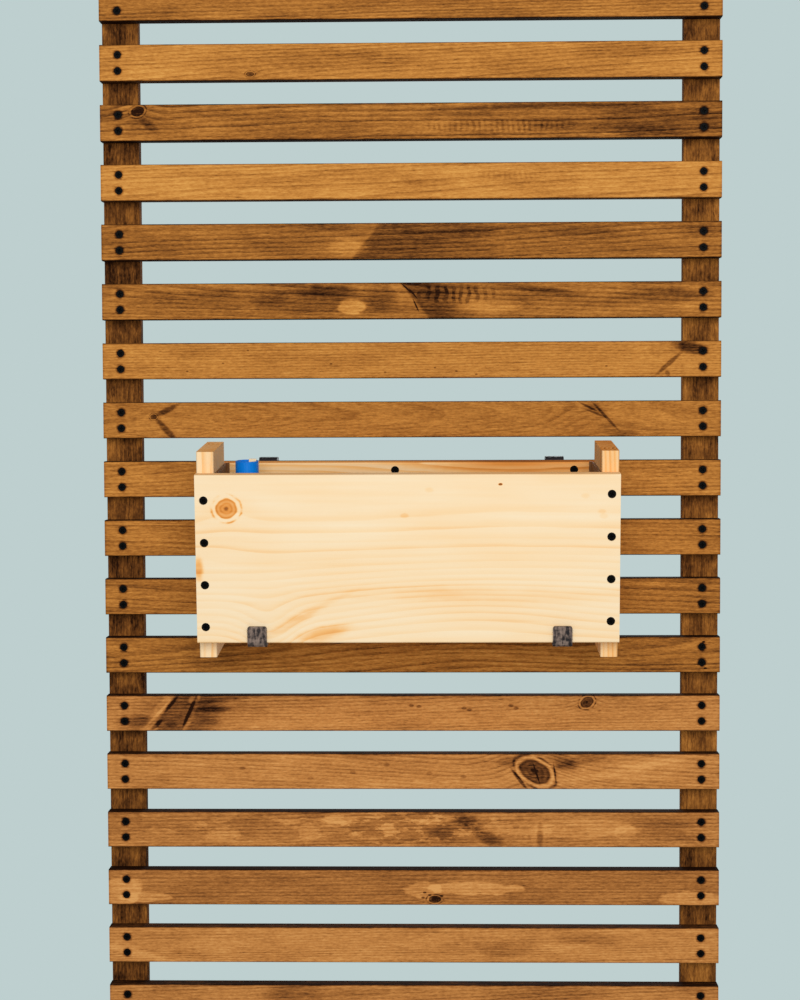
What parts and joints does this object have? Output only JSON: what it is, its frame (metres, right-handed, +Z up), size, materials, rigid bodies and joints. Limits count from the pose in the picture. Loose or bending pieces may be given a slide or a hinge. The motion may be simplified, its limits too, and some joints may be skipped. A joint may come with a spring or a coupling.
{
  "type": "wall planter",
  "caption": "Slatted wooden wall frame with a wooden planter box that hangs on a slat in two bent steel brackets, with a lift-out liner and a watering tube.",
  "frame": {"origin": "middle of the frame's back, in the wall's plane", "axes": "+Z up, -Y out of the wall towards the viewer, +X to the viewer's right"},
  "size_m": [0.72, 0.2017, 1.215],
  "materials": {
    "stained_pine": "brown stained pine, matt, with knots",
    "rail_pine": "brown stained pine, matt",
    "pale_pine": "bare planed pine",
    "black_steel": "dark mill scale, slightly smudged",
    "black_screw": "black phosphated",
    "brown_plastic": "matt brown",
    "blue_plastic": "smooth blue",
    "pale_stick": "bare planed wood"
  },
  "bodies": {
    "frame": {"rail_left": "rail_pine", "rail_right": "rail_pine", "slat_01": "stained_pine", "slat_02": "stained_pine", "slat_03": "stained_pine", "slat_04": "stained_pine", "slat_05": "stained_pine", "slat_06": "stained_pine", "slat_07": "stained_pine", "slat_08": "stained_pine", "slat_09": "stained_pine", "slat_10": "stained_pine", "slat_11": "stained_pine", "slat_12": "stained_pine", "slat_13": "stained_pine", "slat_14": "stained_pine", "slat_15": "stained_pine", "slat_16": "stained_pine", "slat_17": "stained_pine", "slat_18": "stained_pine"},
    "brackets": {"bracket_left": "black_steel", "bracket_right": "black_steel"},
    "box": {"front_board": "pale_pine", "back_board": "pale_pine", "end_board_left": "pale_pine", "end_board_right": "pale_pine", "floor_board": "pale_pine", "front_screw_left_1": "black_screw", "front_screw_left_2": "black_screw", "front_screw_left_3": "black_screw", "front_screw_left_4": "black_screw", "front_screw_right_1": "black_screw", "front_screw_right_2": "black_screw", "front_screw_right_3": "black_screw", "front_screw_right_4": "black_screw", "back_screw_left_1": "black_screw", "back_screw_left_2": "black_screw", "back_screw_left_3": "black_screw", "back_screw_left_4": "black_screw", "back_screw_right_1": "black_screw", "back_screw_right_2": "black_screw", "back_screw_right_3": "black_screw", "back_screw_right_4": "black_screw", "top_screw_1": "black_screw", "top_screw_2": "black_screw", "top_screw_3": "black_screw", "floor_screw_left_1": "black_screw", "floor_screw_left_2": "black_screw", "floor_screw_right_1": "black_screw", "floor_screw_right_2": "black_screw"},
    "liner": {"liner": "brown_plastic", "drain_plate": "brown_plastic", "tube_socket": "brown_plastic"},
    "watering_tube": {"watering_tube": "blue_plastic"},
    "plant_stick": {"plant_stick": "pale_stick"}
  },
  "joints": [
    {"name": "brackets_lift", "type": "slide", "parent": "frame", "child": "brackets", "axis": [0, 0, 1], "range_m": [0, 0.02]},
    {"name": "box_lift", "type": "slide", "parent": "brackets", "child": "box", "axis": [0, -0.0872, 0.9962], "range_m": [0, 0.045]},
    {"name": "liner_lift", "type": "slide", "parent": "box", "child": "liner", "axis": [0, -0.0872, 0.9962], "range_m": [0, 0.19]},
    {"name": "tube_lift", "type": "slide", "parent": "liner", "child": "watering_tube", "axis": [0, -0.0872, 0.9962], "range_m": [0, 0.12]},
    {"name": "stick_lift", "type": "slide", "parent": "watering_tube", "child": "plant_stick", "axis": [0, -0.0872, 0.9962], "range_m": [0, 0.12]}
  ]
}
